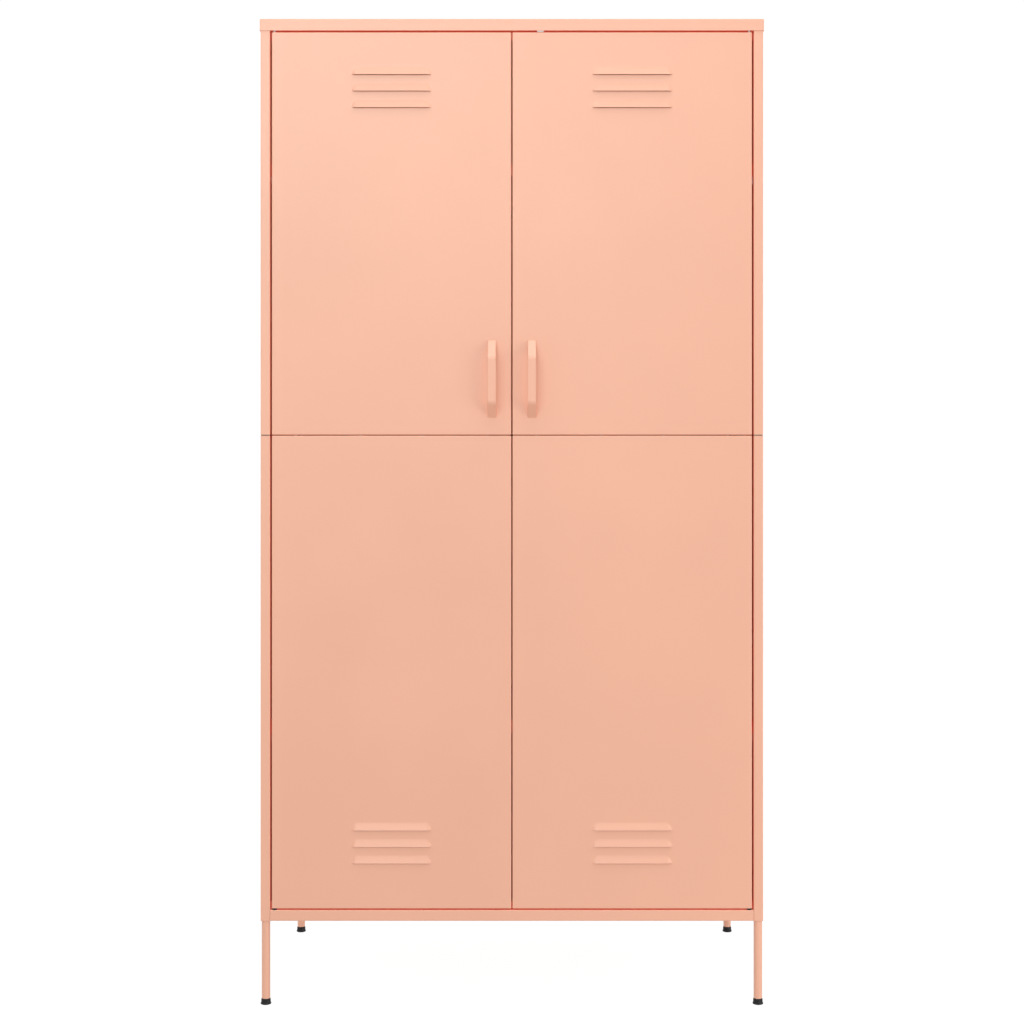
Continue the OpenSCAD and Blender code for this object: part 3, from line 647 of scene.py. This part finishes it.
def back_panel(level, low, high, holes=()):
    half = SHEET / 2
    x, y = BETWEEN_X - half, REAR_Y - half
    section = [(-x, y - BACK_FLANGE + half), (-x, y), (x, y), (x, y - BACK_FLANGE + half)]
    bm = bmesh.new()
    folded(bm, section, low, high, lambda a, b, along: (a, b, along))
    piece = new_piece(f"{level}_back_shell", bm, PAINT)
    if holes:
        cut_out(piece, rounds=[(hole_x, REAR_Y, z, WALL_R) for hole_x, z in holes])
    else:
        weighted(piece)
    return keep(piece, f"{level}_back_panel")


def shelf(node, name):
    low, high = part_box(node)
    half = SHEET / 2
    section = [(0.012, half), (half, half), (half, high.z - low.z - half), (0.012, high.z - low.z - half)]
    mid_y = (low.y + high.y) / 2

    def place(a, b, depth):
        return (a, mid_y + b, high.z - depth)

    return keep(pan(name, high.x, (high.y - low.y) / 2, section, place, PAINT), node)


top_cap()
top_rail()
floor_pan()
for body_side in ("left", "right"):
    side_half(body_side, "upper", JOINT_Z + JOINT_RELIEF, TOP_Z)
    side_half(body_side, "lower", BODY_Z, JOINT_Z - JOINT_RELIEF)
back_panel("upper", JOINT_Z + JOINT_RELIEF, TOP_Z, [(-WALL_X, WALL_Z), (WALL_X, WALL_Z)])
back_panel("lower", BODY_Z, JOINT_Z - JOINT_RELIEF)
shelf("hat_shelf", "hat_shelf_pan")
shelf("lower_shelf", "lower_shelf_pan")


# ---- Legs and feet ----

def lathe(name, profile, centre, material, segments=48, sharp=50.0):
    """A solid of revolution about a vertical axis. profile is a closed line of (radius, height)."""
    bm = bmesh.new()
    rings = [[(centre.x + r * math.cos(a), centre.y + r * math.sin(a), z)
              for a in (2 * math.pi * i / segments for i in range(segments))] for r, z in profile]
    made = loft(bm, rings)
    bm.faces.new(made[0])
    bm.faces.new(made[-1])
    return weighted(new_piece(name, bm, material, sharp))


def leg_and_foot(end, side):
    leg, foot = f"{end}_{side}_leg", f"{end}_{side}_foot"
    low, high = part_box(leg)
    foot_low, foot_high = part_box(foot)
    centre = (low + high) / 2
    r, stud = (high.x - low.x) / 2, 0.005
    tube = [(r - 0.0015, low.z + 0.0004), (r - 0.0011, low.z), (r - 0.0004, low.z), (r, low.z + 0.0004),
            (r, BODY_Z - 0.0006), (r - 0.0006, BODY_Z), (stud, BODY_Z), (stud, high.z - 0.0008),
            (stud - 0.0008, high.z)]
    piece = lathe(f"{end}_{side}_leg_tube", tube, centre, PAINT)
    keep(piece, leg)
    base = (foot_high.x - foot_low.x) / 2
    rim, top, plug = r + 0.00075, low.z, r - 0.00155
    pad = [(base - 0.0012, 0.0), (base - 0.0003, 0.0004), (base, 0.0013), (base - 0.0002, 0.0022),
           (base - 0.0010, 0.0038), (rim + 0.0002, top - 0.0034), (rim, top - 0.0014), (rim - 0.0008, top),
           (plug, top), (plug, foot_high.z - 0.001), (plug - 0.001, foot_high.z)]
    keep(lathe(f"{end}_{side}_glide", pad, centre, BLACK), foot, slot="black_plastic")


for leg_end in ("front", "rear"):
    for leg_side in ("left", "right"):
        leg_and_foot(leg_end, leg_side)


# ---- CAD pieces that stay, with a finish and soft edges ----

SLOTS = {part["node"]: part["material_slot"] for part in frame["record"]["subparts"]}
EDGE = {"zinc_steel": 0.00025, "rail_steel": 0.0003, "white_nylon": 0.0003,
        "black_rubber": 0.00015, "magnet": 0.0002}

for node_name, cad in frame["nodes"].items():
    if cad.hide_render:
        continue
    finish = SLOTS[node_name]
    cad.data.materials.clear()
    cad.data.materials.append(FINISH[finish])
    weld = cad.modifiers.new("weld", "WELD")
    weld.merge_threshold = 1e-6
    bevelled(cad, EDGE.get(finish, 0.0003))


# ---- Stage ----

STAGE_R = 30.0
SKY_LOW = 0.60
SKY_HIGH = 0.69


def studio_white(name, glow, albedo):
    """White that shines a little by itself, so that shadows on it stay faint."""
    mat = bpy.data.materials.new(name)
    mat.use_nodes = True
    shader = mat.node_tree.nodes["Principled BSDF"]
    shader.inputs["Base Color"].default_value = (albedo, albedo, albedo, 1)
    shader.inputs["Roughness"].default_value = 0.9
    shader.inputs["Specular IOR Level"].default_value = 0.0
    shader.inputs["Emission Color"].default_value = (1, 1, 1, 1)
    shader.inputs["Emission Strength"].default_value = glow
    return mat


def stage():
    """A pale floor and a dome round it. They are seen, and the world and the lamps do the lighting."""
    floor_mesh, dome_mesh = bmesh.new(), bmesh.new()
    bmesh.ops.create_circle(floor_mesh, cap_ends=True, segments=96, radius=STAGE_R)
    bmesh.ops.create_uvsphere(dome_mesh, u_segments=64, v_segments=32, radius=STAGE_R)
    floor = new_piece("studio_floor", floor_mesh, studio_white("floor_white", 0.96, 0.08))
    dome = new_piece("studio_dome", dome_mesh, studio_white("dome_white", 1.02, 0.0))
    for piece in (floor, dome):
        piece.visible_diffuse = False
        piece.visible_glossy = False
        piece.visible_transmission = False
        piece.visible_shadow = False


def area_light(name, location, target, size, power, colour=(1, 1, 1), size_y=None):
    data = bpy.data.lights.new(name, "AREA")
    data.energy = power
    data.color = colour
    data.shape = "RECTANGLE"
    data.size = size
    data.size_y = size_y or size
    light = bpy.data.objects.new(name, data)
    light.location = location
    light.rotation_mode = "QUATERNION"
    light.rotation_quaternion = (Vector(target) - Vector(location)).to_track_quat("-Z", "Y")
    light.visible_camera = False
    scene.collection.objects.link(light)


def sky():
    """Soft light from all round, brighter from above."""
    world = bpy.data.worlds.new("studio")
    world.use_nodes = True
    nodes, links = world.node_tree.nodes, world.node_tree.links
    coords = nodes.new("ShaderNodeTexCoord").outputs["Generated"]
    split = nodes.new("ShaderNodeSeparateXYZ")
    links.new(coords, split.inputs["Vector"])
    rise = nodes.new("ShaderNodeMapRange")
    rise.inputs["From Min"].default_value = -1.0
    rise.inputs["From Max"].default_value = 1.0
    rise.inputs["To Min"].default_value = SKY_LOW
    rise.inputs["To Max"].default_value = SKY_HIGH
    links.new(split.outputs["Z"], rise.inputs["Value"])
    links.new(rise.outputs["Result"], nodes["Background"].inputs["Strength"])
    nodes["Background"].inputs["Color"].default_value = (1, 1, 1, 1)
    scene.world = world


def lights():
    sky()
    area_light("softbox", (-1.2, -4.6, 3.0), (0, 0, 1.7), 3.0, 50, (0.88, 1.0, 1.0), 1.2)
    area_light("front_fill", (-0.7, -4.6, 2.9), (0, 0, 1.3), 3.4, 16, size_y=2.0)
    area_light("low_fill", (3.0, -2.4, 0.35), (0, 0, 0.6), 1.6, 30, (1.0, 0.95, 0.93), 1.2)
    area_light("overhead", (0.0, -1.0, 4.0), (0, -1.0, 0.0), 3.0, 36, size_y=1.6)
    area_light("right_fill", (4.0, 1.1, 1.8), (0, 1.1, 0.9), 2.0, 30)
    area_light("left_fill", (-4.0, 1.1, 1.8), (0, 1.1, 0.9), 2.0, 30)
    area_light("back_fill", (0.0, 4.2, 2.2), (0, 0, 0.9), 3.0, 34, size_y=1.6)


def camera():
    """Level with the doors' lower half, from a little right of the middle, as the product is shown."""
    data = bpy.data.cameras.new("camera")
    data.sensor_width = 36.0
    data.lens = 57.61
    data.shift_x = -0.0163
    data.shift_y = -0.046
    cam = bpy.data.objects.new("camera", data)
    cam.location = (0.030, FACE_Y - 2.924, 0.964)
    cam.rotation_euler = (math.radians(90), 0, 0)
    scene.collection.objects.link(cam)
    scene.camera = cam


scene.view_settings.view_transform = "Standard"
camera()
stage()
lights()
